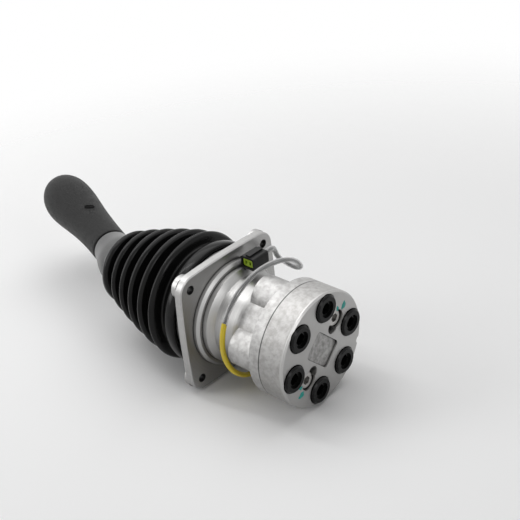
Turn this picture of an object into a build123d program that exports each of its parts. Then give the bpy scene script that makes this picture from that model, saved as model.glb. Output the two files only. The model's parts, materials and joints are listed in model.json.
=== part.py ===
"""Hydraulic pilot joystick valve: four-spool pilot valve, universal joint, boot and bent lever.

Frame: origin at the centre of the mounting flange's seating face. +X runs along the valve's axis
towards the ports, -X towards the lever, +Z is up with the valve lying on one side of its flange.
"""

import os
from math import cos, pi, radians, sin, tan

from build123d import *

# ---------------------------------------------------------------- driving dimensions, mm
RUN = 0.1  # radial clearance of a piece that slides or turns in its bore
SEAT = 0.3  # gap between a loose or soft piece and its seat

# housing, along X from the seating face
FACE_X = 86.0  # port face
BLOCK_T = 21.0  # port block
BASE_T = 9.0  # base disc of the casting
BODY_D = 88.0  # port block and base disc
NECK_D = 66.0
RING_D = 84.0  # stepped ring beside the flange
RING_T = 5.0
STEP_D = 75.0
STEP_T = 6.0
RING_EDGE = 2.0  # bevels of the ring and step
BARREL_L = 21.0  # lobed stretch next to the base disc
LOBE_R = 15.5
LOBE_PITCH_R = 27.0

# flange
HOLE_PITCH = 78.0
FLANGE_A_F = 96.0  # across the corner ears
FLANGE_BULGE = 2.0  # how far each side stands out at its middle
FLANGE_T = 6.0
EAR_T = 10.0
EAR_R = 13.0
HOLE_D = 6.6
SPIGOT_D = 90.0  # raised ring that carries the boot
SPIGOT_X = -14.0
RECESS_D = 74.0
RECESS_X = -4.0
BOLT_PAD_IN = 4.0  # ear pads stand in from the corner radius

# ports, angles from +Z towards +Y
PATTERN_TURN = 45.0
PORT_SPREAD = 35.0
PORT_R = 32.3
PORT_D = 13.2
PORT_DEPTH = 14.0
SPOT_D = 21.6
SPOT_DEPTH = 1.0
PLUG_D = 20.4
PLUG_T = 3.0
PLUG_STEM = 11.0
SCREW_R = 24.0
SCREW_D = 8.0
SCREW_HEAD_D = 13.0
SCREW_HEAD_H = 8.0
SCREW_L = 24.0
CBORE_D = 14.0
SLOT_R = 17.0
SLOT_D = 9.5
BADGE_L = 29.0
BADGE_W = 21.0
BADGE_R = 3.0
BADGE_DEPTH = 1.6
BLOCK_EDGE = 1.2  # bright chamfer round the port face
NOTCH_R = 3.0
NOTCH_ANGLE = 110.0
SLOT_DEPTH = 6.0
HEAD_SUNK = 2.0  # screw heads sit this far under the face
PLUG_SOCKET_D = 12.4
PLUG_SOCKET_DEPTH = 2.0
PLUG_HEX_R = 4.6
PLUG_HEX_DEPTH = 6.0
SCREW_HEX_R = 3.46
SCREW_HEX_DEPTH = 4.0
THREAD_PAST = 5.0  # threaded hole past the screw's end
SEAL_D = BODY_D - 7
SEAL_W = 2.0
SEAL_T = 1.5

# plungers and spools
SPOOL_R = 20.0  # radius of the circle that the four plungers stand on
PLUNGER_D = 9.0
PLUNGER_DOME = 4.0
GUIDE_D = 18.0
GUIDE_L = 15.0
SPOOL_D = 7.8
CHAMBER_D = 17.0
CHAMBER_END = 44.0
SPRING_D = 15.5
SPRING_WIRE = 2.0
SPRING_TURNS = 5
SPRING_RUNS = 12  # straight runs in each turn, to keep its faces few
SEAT_T = 3.0
STROKE = 7.0
SPOOL_NOSE = 4.0  # room for the spools' ends in the block
POST_SINK = 14.0  # joint post's hole in the casting

# plate and universal joint
PLATE_T = 5.0
PIVOT_RISE = 13.0  # pivot centre above the plate
DISC_GAP = 0.8  # swash disc to plunger
DISC_D = 54.0
DISC_T = 4.0
POST_D = 12.0
CROSS_BLOCK = 6.0
STUB_D = 4.0
CUP_D = 24.0
CUP_BORE = 19.0
CUP_SKIRT = 4.0
CUP_TOP = 14.0
NUT_AF = 24.0
NUT_T = 7.0

# lever
ROD_D = 12.0
BEND_PAST = 6.9  # corner of the bend past the boot's end
BEND_R = 60.0
BEND = 20.5  # degrees
SLEEVE_START = 0.0  # distances along the bent axis from its corner
SLEEVE_END = 28.0
SLEEVE_BIG = 42.0
SLEEVE_SMALL = 32.4
SLEEVE_WALL = 2.5
SLEEVE_COLLAR = 5.0  # length that grips the rod
GRIP_L = 132.5
GRIP_GAP = 1.2
BUTTON_L = 22.0
BUTTON_W = 14.0
BUTTON_H = 7.0
BUTTON_TRAVEL = 2.0

# boot
BOOT_WALL = 2.2
BOOT_BASE_R = 48.0
BOOT_CREST_R = 51.5
BOOT_PLEATS = 6
BOOT_PITCH = 14.8
BOOT_TOP_R = 31.0
BOOT_DEPTH = 7.0
BOOT_START = -14.3
BOOT_SKIRT = 8.0  # plain length at the flange
BOOT_LIP = 4.0  # last crest to the end wall
CUFF_IN = 9.0
CUFF_OUT = 6.0

# harness
CABLE_D = 4.0
GLAND_X = 26.0
GLAND_Y = 12.0
GLAND_DROP = 41.0
GLAND_L = 9.0
BOSS_W = 12.0
BOSS_T = 8.0
BOSS_LIFT = 2.0
CONNECTOR_X = 13.5
CONNECTOR_Y = 15.0
CONNECTOR_Z = 42.5
CONNECTOR_W = 13.0
CONNECTOR_L = 16.0
CONNECTOR_H = 10.0

# ---------------------------------------------------------------- derived places
BASE_X = FACE_X - BLOCK_T  # joint face between block and casting
BARREL_END = BASE_X - BASE_T
BARREL_X = BARREL_END - BARREL_L
PLATE_X = RECESS_X - PLATE_T
PIVOT_X = PLATE_X - PIVOT_RISE
PLUNGER_TOP = PIVOT_X + DISC_GAP
SEAT_X = GUIDE_L + PLATE_X + PLATE_T + SEAT + STROKE
LEVER_TOP = PIVOT_X - CUP_TOP
BOOT_END_X = BOOT_START - BOOT_SKIRT - BOOT_PITCH * BOOT_PLEATS - BOOT_LIP
BEND_X = BOOT_END_X - BEND_PAST

AXIS = Plane.YZ  # sketches across the valve's axis, local x = Y, local y = Z
LEVER_DIR = Vector(-cos(radians(BEND)), sin(radians(BEND)), 0)
LEVER = Plane(origin=(BEND_X, 0, 0), x_dir=(0, 0, 1), z_dir=LEVER_DIR)
PORT_ANGLES = [
    PATTERN_TURN - PORT_SPREAD,
    PATTERN_TURN + PORT_SPREAD,
    PATTERN_TURN + 90,
    PATTERN_TURN + 180 - PORT_SPREAD,
    PATTERN_TURN + 180 + PORT_SPREAD,
    PATTERN_TURN + 270,
]
SCREW_ANGLES = [PATTERN_TURN, PATTERN_TURN + 180]
SPOOL_ANGLES = [0, 90, 180, 270]


def spot(radius, angle):
    """A place on a circle about the valve's axis, at an angle from +Z towards +Y."""
    return (radius * sin(radians(angle)), radius * cos(radians(angle)))


def spots(radius, angles):
    return [spot(radius, a) for a in angles]


def save(builder, name):
    builder.part.label = name
    export_step(builder.part, f"parts/{name}.step")


os.makedirs("parts", exist_ok=True)


# ---------------------------------------------------------------- housing
with BuildPart() as port_block:
    with BuildSketch(AXIS.offset(BASE_X)):
        Circle(BODY_D / 2)
    extrude(amount=BLOCK_T)
    chamfer(port_block.edges().group_by(Axis.X)[-1], BLOCK_EDGE)
    with BuildSketch(AXIS.offset(FACE_X)):
        with Locations(*spots(PORT_R, PORT_ANGLES)):
            Circle(SPOT_D / 2)
    extrude(amount=-SPOT_DEPTH, mode=Mode.SUBTRACT)
    with BuildSketch(AXIS.offset(FACE_X)):
        with Locations(*spots(PORT_R, PORT_ANGLES)):
            Circle(PORT_D / 2)
    extrude(amount=-PORT_DEPTH, mode=Mode.SUBTRACT)
    with BuildSketch(AXIS.offset(FACE_X)):
        with Locations(*spots(SCREW_R, SCREW_ANGLES)):
            Circle(CBORE_D / 2)
    extrude(amount=-SCREW_HEAD_H - HEAD_SUNK, mode=Mode.SUBTRACT)
    with BuildSketch(AXIS.offset(FACE_X)):
        with Locations(*spots(SCREW_R, SCREW_ANGLES)):
            Circle(SCREW_D / 2 + SEAT)
    extrude(amount=-BLOCK_T, mode=Mode.SUBTRACT)
    with BuildSketch(AXIS.offset(FACE_X)):
        with Locations(*spots(SLOT_R, SCREW_ANGLES)):
            Circle(SLOT_D / 2)
    extrude(amount=-SLOT_DEPTH, mode=Mode.SUBTRACT)
    with BuildSketch(AXIS.offset(FACE_X)):
        RectangleRounded(BADGE_L, BADGE_W, BADGE_R, rotation=PATTERN_TURN - 90)
    extrude(amount=-BADGE_DEPTH, mode=Mode.SUBTRACT)
    with BuildSketch(AXIS.offset(FACE_X)):
        with Locations(spot(BODY_D / 2, NOTCH_ANGLE)):
            Circle(NOTCH_R)
    extrude(amount=-BLOCK_T, mode=Mode.SUBTRACT)
    with BuildSketch(AXIS.offset(BASE_X)):
        with Locations(*spots(SPOOL_R, SPOOL_ANGLES)):
            Circle(SPOOL_D / 2 + 1)
    extrude(amount=SPOOL_NOSE, mode=Mode.SUBTRACT)
save(port_block, "port_block")

with BuildPart() as mounting_flange:
    with BuildSketch(AXIS) as outline:
        with BuildLine():
            half = FLANGE_A_F / 2
            crown = half + FLANGE_BULGE
            for turn in range(4):
                points = [Vector(half, half), Vector(0, crown), Vector(-half, half)]
                ThreePointArc(*[p.rotate(Axis.Z, 90 * turn) for p in points])
        make_face()
        fillet(outline.vertices(), EAR_R)
    extrude(amount=-FLANGE_T)
    with BuildSketch(AXIS.offset(-FLANGE_T)):
        with GridLocations(HOLE_PITCH, HOLE_PITCH, 2, 2):
            Circle(EAR_R - BOLT_PAD_IN)
    extrude(amount=-(EAR_T - FLANGE_T))
    chamfer(mounting_flange.faces().sort_by(Axis.X)[-1].outer_wire().edges(), 0.8)
    with BuildSketch(AXIS.offset(-FLANGE_T)):
        Circle(SPIGOT_D / 2)
    extrude(amount=SPIGOT_X + FLANGE_T)
    with BuildSketch(AXIS.offset(SPIGOT_X)):
        Circle(RECESS_D / 2)
    extrude(amount=-SPIGOT_X, mode=Mode.SUBTRACT)
    with BuildSketch(AXIS.offset(RECESS_X)):
        Circle(RING_D / 2 + RUN)
    extrude(amount=-RECESS_X, mode=Mode.SUBTRACT)
    with BuildSketch(AXIS.offset(-EAR_T)):
        with GridLocations(HOLE_PITCH, HOLE_PITCH, 2, 2):
            Circle(HOLE_D / 2)
    extrude(amount=EAR_T, mode=Mode.SUBTRACT)
save(mounting_flange, "mounting_flange")

with BuildPart() as valve_neck:
    # shoulder, stepped rings and neck
    with BuildSketch(Plane.XY):
        with BuildLine():
            Polyline(
                (RECESS_X, 0),
                (RECESS_X, RING_D / 2),
                (RING_T - RING_EDGE, RING_D / 2),
                (RING_T, RING_D / 2 - RING_EDGE),
                (RING_T, STEP_D / 2),
                (RING_T + STEP_T - RING_EDGE, STEP_D / 2),
                (RING_T + STEP_T + RING_EDGE, NECK_D / 2),
                (BARREL_X, NECK_D / 2),
                (BARREL_X, 0),
                close=True,
            )
        make_face()
    revolve(axis=Axis.X)
    # boss that holds the cable gland under the neck
    with BuildSketch(Plane(origin=(GLAND_X, GLAND_Y, 0), x_dir=(1, 0, 0), z_dir=(0, -1, 0))):
        with Locations((0, -(GLAND_DROP + NECK_D / 2) / 2 + BOSS_LIFT)):
            Rectangle(BOSS_W, GLAND_DROP - NECK_D / 2 + BOSS_W)
    extrude(amount=-BOSS_T)
    # guide seats, chambers and the post's hole
    with BuildSketch(AXIS.offset(RECESS_X)):
        with Locations(*spots(SPOOL_R, SPOOL_ANGLES)):
            Circle(GUIDE_D / 2)
    extrude(amount=GUIDE_L, mode=Mode.SUBTRACT)
    with BuildSketch(AXIS.offset(RECESS_X + GUIDE_L)):
        with Locations(*spots(SPOOL_R, SPOOL_ANGLES)):
            Circle(CHAMBER_D / 2)
    extrude(amount=BARREL_X - RECESS_X - GUIDE_L, mode=Mode.SUBTRACT)
    with BuildSketch(AXIS.offset(RECESS_X)):
        Circle(POST_D / 2 - 1)
    extrude(amount=POST_SINK, mode=Mode.SUBTRACT)
save(valve_neck, "valve_neck")

with BuildPart() as valve_body:
    # lobes round the spools, and the base disc that the port block is screwed to
    with BuildSketch(AXIS.offset(BARREL_X)):
        Circle(NECK_D / 2)
        with Locations(*spots(LOBE_PITCH_R, SPOOL_ANGLES)):
            Circle(LOBE_R)
    extrude(amount=BARREL_L)
    with BuildSketch(AXIS.offset(BARREL_END)):
        Circle(BODY_D / 2)
    extrude(amount=BASE_T)
    # chambers, spool bores, screw holes and face seal groove
    with BuildSketch(AXIS.offset(BARREL_X)):
        with Locations(*spots(SPOOL_R, SPOOL_ANGLES)):
            Circle(CHAMBER_D / 2)
    extrude(amount=CHAMBER_END - BARREL_X, mode=Mode.SUBTRACT)
    with BuildSketch(AXIS.offset(CHAMBER_END)):
        with Locations(*spots(SPOOL_R, SPOOL_ANGLES)):
            Circle(SPOOL_D / 2 + RUN)
    extrude(amount=BASE_X - CHAMBER_END, mode=Mode.SUBTRACT)
    with BuildSketch(AXIS.offset(BASE_X)):
        with Locations(*spots(SCREW_R, SCREW_ANGLES)):
            Circle(SCREW_D / 2)
    extrude(amount=-(SCREW_L - BLOCK_T + SCREW_HEAD_H + THREAD_PAST), mode=Mode.SUBTRACT)
    with BuildSketch(AXIS.offset(BASE_X)):
        Circle(SEAL_D / 2 + SEAL_W / 2)
        Circle(SEAL_D / 2 - SEAL_W / 2, mode=Mode.SUBTRACT)
    extrude(amount=-SEAL_T, mode=Mode.SUBTRACT)
save(valve_body, "valve_body")

with BuildPart() as face_seal:
    with BuildSketch(AXIS.offset(BASE_X)):
        Circle(SEAL_D / 2 + SEAL_W / 2)
        Circle(SEAL_D / 2 - SEAL_W / 2, mode=Mode.SUBTRACT)
    extrude(amount=-SEAL_T)
save(face_seal, "face_seal")

with BuildPart() as port_plugs:
    seat_x = FACE_X - SPOT_DEPTH
    with BuildSketch(AXIS.offset(seat_x)):
        with Locations(*spots(PORT_R, PORT_ANGLES)):
            Circle(PLUG_D / 2)
    extrude(amount=PLUG_T)
    chamfer(port_plugs.edges().group_by(Axis.X)[-1], 1.1)
    with BuildSketch(AXIS.offset(seat_x)):
        with Locations(*spots(PORT_R, PORT_ANGLES)):
            Circle(PORT_D / 2)
    extrude(amount=-PLUG_STEM)
    with BuildSketch(AXIS.offset(seat_x + PLUG_T)):
        with Locations(*spots(PORT_R, PORT_ANGLES)):
            Circle(PLUG_SOCKET_D / 2)
    extrude(amount=-PLUG_SOCKET_DEPTH, mode=Mode.SUBTRACT)
    with BuildSketch(AXIS.offset(seat_x + PLUG_T - PLUG_SOCKET_DEPTH)):
        with Locations(*spots(PORT_R, PORT_ANGLES)):
            RegularPolygon(PLUG_HEX_R, 6)
    extrude(amount=-PLUG_HEX_DEPTH, mode=Mode.SUBTRACT)
save(port_plugs, "port_plugs")

with BuildPart() as cap_screws:
    head_x = FACE_X - SCREW_HEAD_H - HEAD_SUNK
    with BuildSketch(AXIS.offset(head_x)):
        with Locations(*spots(SCREW_R, SCREW_ANGLES)):
            Circle(SCREW_HEAD_D / 2)
    extrude(amount=SCREW_HEAD_H)
    chamfer(cap_screws.edges().group_by(Axis.X)[-1], 0.8)
    with BuildSketch(AXIS.offset(head_x)):
        with Locations(*spots(SCREW_R, SCREW_ANGLES)):
            Circle(SCREW_D / 2)
    extrude(amount=-SCREW_L)
    with BuildSketch(AXIS.offset(head_x + SCREW_HEAD_H)):
        with Locations(*spots(SCREW_R, SCREW_ANGLES)):
            RegularPolygon(SCREW_HEX_R, 6)
    extrude(amount=-SCREW_HEX_DEPTH, mode=Mode.SUBTRACT)
save(cap_screws, "cap_screws")

# ---------------------------------------------------------------- plungers and spools
with BuildPart() as plunger_plate:
    with BuildSketch(AXIS.offset(PLATE_X)):
        Circle(RECESS_D / 2 - RUN)
        with Locations(*spots(SPOOL_R, SPOOL_ANGLES)):
            Circle(PLUNGER_D / 2 + SEAT, mode=Mode.SUBTRACT)
        Circle(POST_D / 2 - 1, mode=Mode.SUBTRACT)
    extrude(amount=PLATE_T)
save(plunger_plate, "plunger_plate")

with BuildPart() as plunger_guides:
    with BuildSketch(AXIS.offset(RECESS_X)):
        with Locations(*spots(SPOOL_R, SPOOL_ANGLES)):
            Circle(GUIDE_D / 2)
            Circle(PLUNGER_D / 2 + RUN, mode=Mode.SUBTRACT)
    extrude(amount=GUIDE_L - SEAT)
save(plunger_guides, "plunger_guides")


def plunger(angle):
    """Domed push rod with its spring seat, the metering spool hanging under it."""
    with BuildPart() as rod:
        with BuildSketch(Plane(origin=(0, 0, 0), x_dir=(1, 0, 0), z_dir=(0, -1, 0))):
            with BuildLine():
                dome_x = PLUNGER_TOP + PLUNGER_DOME
                r = PLUNGER_DOME
                CenterArc((dome_x, 0), r, 90, 90)
                Polyline(
                    (dome_x, r),
                    (dome_x + 0.5, PLUNGER_D / 2),
                    (SEAT_X, PLUNGER_D / 2),
                    (SEAT_X, 0),
                    (PLUNGER_TOP, 0),
                )
            make_face()
        revolve(axis=Axis.X)
    y, z = spot(SPOOL_R, angle)
    rod.part.position = (0, y, z)
    return rod


def ring_part(x, inner_d, outer_d, length, angle):
    with BuildPart() as ring:
        with BuildSketch(AXIS.offset(x)):
            with Locations(spot(SPOOL_R, angle)):
                Circle(outer_d / 2)
                if inner_d:
                    Circle(inner_d / 2, mode=Mode.SUBTRACT)
        extrude(amount=length)
    return ring


def return_spring(angle):
    """Open coil between the spring seat and the chamber floor, drawn as straight runs of six-sided wire."""
    start = SEAT_X + SEAT_T + SEAT + SPRING_WIRE / 2
    length = CHAMBER_END - SEAT - SPRING_WIRE / 2 - start
    radius = SPRING_D / 2 - SPRING_WIRE / 2
    y, z = spot(SPOOL_R, angle)
    runs = SPRING_TURNS * SPRING_RUNS
    corners = []
    for run in range(runs + 1):
        side, up = spot(radius, 360 * run / SPRING_RUNS)
        corners.append((start + length * run / runs, y + side, z + up))
    with BuildPart() as spring:
        with BuildLine() as coil:
            Polyline(*corners)
        with BuildSketch(Plane(origin=coil.line @ 0, x_dir=(0, 0, 1), z_dir=coil.line % 0)):
            RegularPolygon(SPRING_WIRE / 2, 6)
        sweep(path=coil.line, transition=Transition.RIGHT)
    return spring


for number, angle in enumerate(SPOOL_ANGLES, start=1):
    save(plunger(angle), f"plunger_{number}")
    save(ring_part(SEAT_X, 0, SPRING_D, SEAT_T, angle), f"spring_seat_{number}")
    save(return_spring(angle), f"return_spring_{number}")
    save(ring_part(SEAT_X + SEAT_T, 0, SPOOL_D, BASE_X - SPOOL_NOSE - SEAT_X - SEAT_T, angle), f"spool_{number}")


# ---------------------------------------------------------------- universal joint
with BuildPart() as joint_post:
    with BuildSketch(AXIS.offset(RECESS_X + POST_SINK - 1)):
        Circle(POST_D / 2 - 1)
    extrude(amount=PLATE_X - RECESS_X - POST_SINK + 1)
    with BuildSketch(AXIS.offset(PLATE_X)):
        RegularPolygon(POST_D / 2 + 1.5, 6)
    extrude(amount=-4)
    with BuildSketch(AXIS.offset(PLATE_X - 4)):
        Circle(POST_D / 2)
    extrude(amount=PIVOT_X - 4.5 - PLATE_X + 4)
    with BuildSketch(AXIS.offset(PIVOT_X + CROSS_BLOCK / 2 + 2)):
        Rectangle(POST_D + 2, CROSS_BLOCK + 2 * SEAT)
    extrude(amount=-20, mode=Mode.SUBTRACT)
    with Locations(Location((PIVOT_X, 0, 0))):
        Cylinder(STUB_D / 2 + RUN, POST_D + 2, mode=Mode.SUBTRACT)
    chamfer(joint_post.edges().group_by(Axis.X)[0], 0.8)
save(joint_post, "joint_post")

with BuildPart() as joint_cross:
    with Locations(Location((PIVOT_X, 0, 0))):
        Box(CROSS_BLOCK, CROSS_BLOCK, CROSS_BLOCK)
    chamfer(joint_cross.edges(), 0.5)
    with Locations(Location((PIVOT_X, 0, 0))):
        Cylinder(STUB_D / 2, POST_D - 0.6)
        Cylinder(STUB_D / 2, CUP_D - 1, rotation=(90, 0, 0))
save(joint_cross, "joint_cross")

with BuildPart() as joint_cup:
    with BuildSketch(Plane.XY):
        with BuildLine():
            x0 = PIVOT_X + CUP_SKIRT
            x1 = PIVOT_X - 8.5
            Polyline(
                (x0, CUP_BORE / 2),
                (x0, CUP_D / 2),
                (LEVER_TOP, CUP_D / 2),
                (LEVER_TOP, 0),
                (x1, 0),
                (x1, CUP_BORE / 2 - 2),
                (x1 + 2, CUP_BORE / 2),
                close=True,
            )
        make_face()
    revolve(axis=Axis.X)
    with Locations(Location((PIVOT_X, 0, 0))):
        Cylinder(STUB_D / 2 + RUN, CUP_D + 2, rotation=(90, 0, 0), mode=Mode.SUBTRACT)
    with BuildSketch(AXIS.offset(LEVER_TOP)):
        Circle(ROD_D / 2 - 1)
    extrude(amount=4, mode=Mode.SUBTRACT)
save(joint_cup, "joint_cup")

with BuildPart() as swash_disc:
    with BuildSketch(AXIS.offset(PIVOT_X)):
        Circle(DISC_D / 2)
        Circle(CUP_D / 2, mode=Mode.SUBTRACT)
    extrude(amount=-DISC_T)
    chamfer(swash_disc.edges().filter_by(GeomType.CIRCLE).group_by(SortBy.RADIUS)[-1], 0.8)
save(swash_disc, "swash_disc")

with BuildPart() as lock_nut:
    with BuildSketch(AXIS.offset(LEVER_TOP)):
        RegularPolygon(NUT_AF / 2, 6, major_radius=False)
        Circle(ROD_D / 2, mode=Mode.SUBTRACT)
    extrude(amount=-NUT_T)
save(lock_nut, "lock_nut")

# ---------------------------------------------------------------- lever, sleeve and grip
ROD_END = SLEEVE_END + GRIP_L - 42
with BuildPart() as lever_rod:
    with BuildLine() as path:
        tip = Vector(BEND_X, 0, 0) + LEVER_DIR * ROD_END
        FilletPolyline((LEVER_TOP, 0, 0), (BEND_X, 0, 0), tip, radius=BEND_R)
    with BuildSketch(AXIS.offset(LEVER_TOP)):
        Circle(ROD_D / 2)
    sweep(path=path.line)
    with BuildSketch(AXIS.offset(LEVER_TOP)):
        Circle(ROD_D / 2 - 1)
    extrude(amount=4)
save(lever_rod, "lever_rod")


def along(distance):
    """Plane across the bent axis, at a distance from its corner."""
    return LEVER.offset(distance)


LEVER_SIDE = Plane(origin=LEVER.origin, x_dir=LEVER.x_dir, z_dir=LEVER.x_dir.cross(LEVER.z_dir))
LEVER_AXIS = Axis(LEVER.origin, LEVER.z_dir)

with BuildPart() as sleeve:
    with BuildSketch(LEVER_SIDE):
        with BuildLine():
            Polyline(
                (SLEEVE_BIG / 2 - SLEEVE_WALL, SLEEVE_START + 3),
                (SLEEVE_BIG / 2, SLEEVE_START + 3),
                (SLEEVE_BIG / 2, SLEEVE_START + 8),
                (SLEEVE_SMALL / 2, SLEEVE_END),
                (ROD_D / 2, SLEEVE_END),
                (ROD_D / 2, SLEEVE_END - SLEEVE_COLLAR),
                (SLEEVE_SMALL / 2 - SLEEVE_WALL, SLEEVE_END - SLEEVE_COLLAR),
                close=True,
            )
        make_face()
    revolve(axis=LEVER_AXIS)
save(sleeve, "sleeve")

GRIP_START = SLEEVE_END + GRIP_GAP
# distance along the grip as a share of its length, radius, sideways lean of the section
GRIP_SECTIONS = [
    (0.0, 16.0, 0),
    (0.12, 16.2, 0),
    (0.25, 16.8, 0),
    (0.4, 18.0, 0.3),
    (0.55, 19.9, 0.8),
    (0.68, 21.7, 1.3),
    (0.78, 22.4, 1.6),
    (0.88, 21.6, 1.6),
    (0.95, 19.2, 1.4),
    (0.985, 16.8, 1.2),
    (1.0, 15.0, 1.2),
]
BUTTON_PLANE = along(GRIP_START + GRIP_L)
with BuildPart() as grip:
    for share, radius, lean in GRIP_SECTIONS:
        with BuildSketch(along(GRIP_START + share * GRIP_L)):
            with Locations((0, -lean)):
                Circle(radius)
    loft(ruled=True)
    with BuildSketch(along(GRIP_START)):
        Circle(ROD_D / 2)
    extrude(amount=ROD_END - GRIP_START, mode=Mode.SUBTRACT)
    with BuildSketch(BUTTON_PLANE):
        RectangleRounded(BUTTON_L + 2 * SEAT, BUTTON_W + 2 * SEAT, 3)
    extrude(amount=-14, mode=Mode.SUBTRACT)
save(grip, "grip")

with BuildPart() as horn_button:
    with BuildSketch(BUTTON_PLANE.offset(1.5)):
        RectangleRounded(BUTTON_L, BUTTON_W, 3 - SEAT)
    extrude(amount=-BUTTON_H)
    chamfer(horn_button.edges().group_by(LEVER_AXIS)[-1], 0.8)
save(horn_button, "horn_button")

SWITCH_T = 4.0
with BuildPart() as horn_switch:
    with BuildSketch(BUTTON_PLANE.offset(-14)):
        Rectangle(BUTTON_L - 2, BUTTON_W - 2)
    extrude(amount=SWITCH_T)
    with BuildSketch(BUTTON_PLANE.offset(-14 + SWITCH_T)):
        Circle(2)
    extrude(amount=14 - SWITCH_T - BUTTON_H + 1.5 - BUTTON_TRAVEL - SEAT)
save(horn_switch, "horn_switch")

# ---------------------------------------------------------------- boot
def bellows_line(inset):
    """Pleated outline from the flange to the bend, drawn in by an inset."""
    foot = BOOT_BASE_R - inset
    points = [(BOOT_START, foot), (BOOT_START - BOOT_SKIRT, foot)]
    for pleat in range(BOOT_PLEATS):
        share = pleat / (BOOT_PLEATS - 1)
        crest = BOOT_CREST_R + (BOOT_TOP_R - BOOT_CREST_R) * share**1.3 - inset
        x = BOOT_START - BOOT_SKIRT - BOOT_PITCH * (pleat + 1)
        points.append((x + BOOT_PITCH * 0.5, crest - BOOT_DEPTH))
        points.append((x, crest))
    return points


with BuildPart() as boot:
    with BuildSketch(Plane.XY):
        with BuildLine():
            lip = BOOT_TOP_R - BOOT_LIP
            hole = SLEEVE_BIG / 2 - 1
            Polyline(
                *bellows_line(0),
                (BOOT_END_X, lip),
                (BOOT_END_X, hole),
                (BOOT_END_X + BOOT_WALL, hole),
                (BOOT_END_X + BOOT_WALL, lip - BOOT_WALL),
                *reversed(bellows_line(BOOT_WALL)),
                close=True,
            )
        make_face()
    revolve(axis=Axis.X)
    with BuildSketch(LEVER_SIDE):
        with BuildLine():
            cuff = SLEEVE_BIG / 2 + SEAT
            Polyline(
                (cuff, SLEEVE_START + CUFF_OUT),
                (cuff + BOOT_WALL, SLEEVE_START + CUFF_OUT),
                (cuff + BOOT_WALL, SLEEVE_START - CUFF_IN),
                (cuff, SLEEVE_START - CUFF_IN),
                close=True,
            )
        make_face()
    revolve(axis=LEVER_AXIS)
save(boot, "boot")

# ---------------------------------------------------------------- harness
with BuildPart() as cable_gland:
    with BuildSketch(Plane(origin=(GLAND_X, GLAND_Y, -GLAND_DROP), x_dir=(1, 0, 0), z_dir=(0, -1, 0))):
        Circle(CABLE_D / 2 + 1.6)
    extrude(amount=GLAND_L)
    with BuildSketch(Plane(origin=(GLAND_X, GLAND_Y, -GLAND_DROP), x_dir=(1, 0, 0), z_dir=(0, -1, 0))):
        Circle(CABLE_D / 2 + 2.6)
    extrude(amount=2)
save(cable_gland, "cable_gland")

ROUTE = [
    (GLAND_X, GLAND_Y - GLAND_L, -GLAND_DROP),
    (GLAND_X, -8.0, -GLAND_DROP),
    (26.5, -19.5, -37.0),
    (27.0, -30.5, -27.5),
    (27.5, -38.0, -14.5),
    (27.5, -41.0, 1.0),
    (27.5, -37.5, 17.5),
    (28.0, -28.0, 31.5),
    (28.5, -13.5, 41.0),
    (29.5, 3.0, 45.5),
    (31.0, 20.0, 44.0),
    (32.0, 30.5, 40.5),
    (32.4, 38.4, 35.6),
    (32.2, 43.8, 28.5),
    (29.1, 46.8, 24.2),
    (23.9, 48.5, 21.7),
    (17.7, 48.5, 21.7),
    (12.5, 46.8, 24.2),
    (9.4, 43.8, 28.5),
    (9.8, 41.0, 35.5),
    (11.5, 37.2, 40.4),
    (CONNECTOR_X, 32.0, CONNECTOR_Z),
    (CONNECTOR_X, CONNECTOR_Y + CONNECTOR_L / 2, CONNECTOR_Z),
]


def route_radii(points):
    """Arc radius at each inner corner, from the shorter run beside it and the turn."""
    radii = []
    for before, corner, after in zip(points, points[1:], points[2:]):
        run_in = Vector(*corner) - Vector(*before)
        run_out = Vector(*after) - Vector(*corner)
        turn = radians(run_in.get_angle(run_out))
        radii.append(0.45 * min(run_in.length, run_out.length) / tan(turn / 2))
    return radii


RADII = route_radii(ROUTE)
with BuildPart() as harness:
    with BuildLine() as route:
        FilletPolyline(*ROUTE, radius=RADII)
    with BuildSketch(Plane(origin=route.line @ 0, z_dir=route.line % 0)):
        Circle(CABLE_D / 2)
    sweep(path=route.line)
save(harness, "harness")
print("harness radii", [round(r, 1) for r in RADII])
ROUTE_LENGTH = sum(edge.length for edge in route.edges())
print("harness length", round(ROUTE_LENGTH, 1))
print("volume over section", round(harness.part.volume / (pi * CABLE_D**2 / 4), 1))

with BuildPart() as connector_housing:
    with Locations((CONNECTOR_X, CONNECTOR_Y, CONNECTOR_Z)):
        Box(CONNECTOR_W, CONNECTOR_L, CONNECTOR_H)
    fillet(connector_housing.edges().filter_by(Axis.Y), 2)
    with BuildSketch(Plane(origin=(CONNECTOR_X, CONNECTOR_Y, CONNECTOR_Z + CONNECTOR_H / 2), z_dir=(0, 0, 1))):
        Rectangle(4, CONNECTOR_L - 2)
    extrude(amount=1.4)
    with BuildSketch(Plane(origin=(CONNECTOR_X, CONNECTOR_Y - CONNECTOR_L / 2, CONNECTOR_Z), x_dir=(1, 0, 0), z_dir=(0, -1, 0))):
        RectangleRounded(CONNECTOR_W - 3, CONNECTOR_H - 3, 1.5)
    extrude(amount=-8, mode=Mode.SUBTRACT)
save(connector_housing, "connector_housing")

with BuildPart() as connector_insert:
    with BuildSketch(Plane(origin=(CONNECTOR_X, CONNECTOR_Y - CONNECTOR_L / 2 + 8, CONNECTOR_Z), x_dir=(1, 0, 0), z_dir=(0, -1, 0))):
        RectangleRounded(CONNECTOR_W - 4, CONNECTOR_H - 4, 1)
    extrude(amount=7.2)
    with BuildSketch(Plane(origin=(CONNECTOR_X, CONNECTOR_Y - CONNECTOR_L / 2 + 0.8, CONNECTOR_Z), x_dir=(1, 0, 0), z_dir=(0, -1, 0))):
        with GridLocations(4, 1, 2, 1):
            Rectangle(1.6, 2.6)
    extrude(amount=-5, mode=Mode.SUBTRACT)
save(connector_insert, "connector_insert")
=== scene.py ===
"""Finishes for the hydraulic pilot joystick valve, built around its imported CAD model."""

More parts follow.
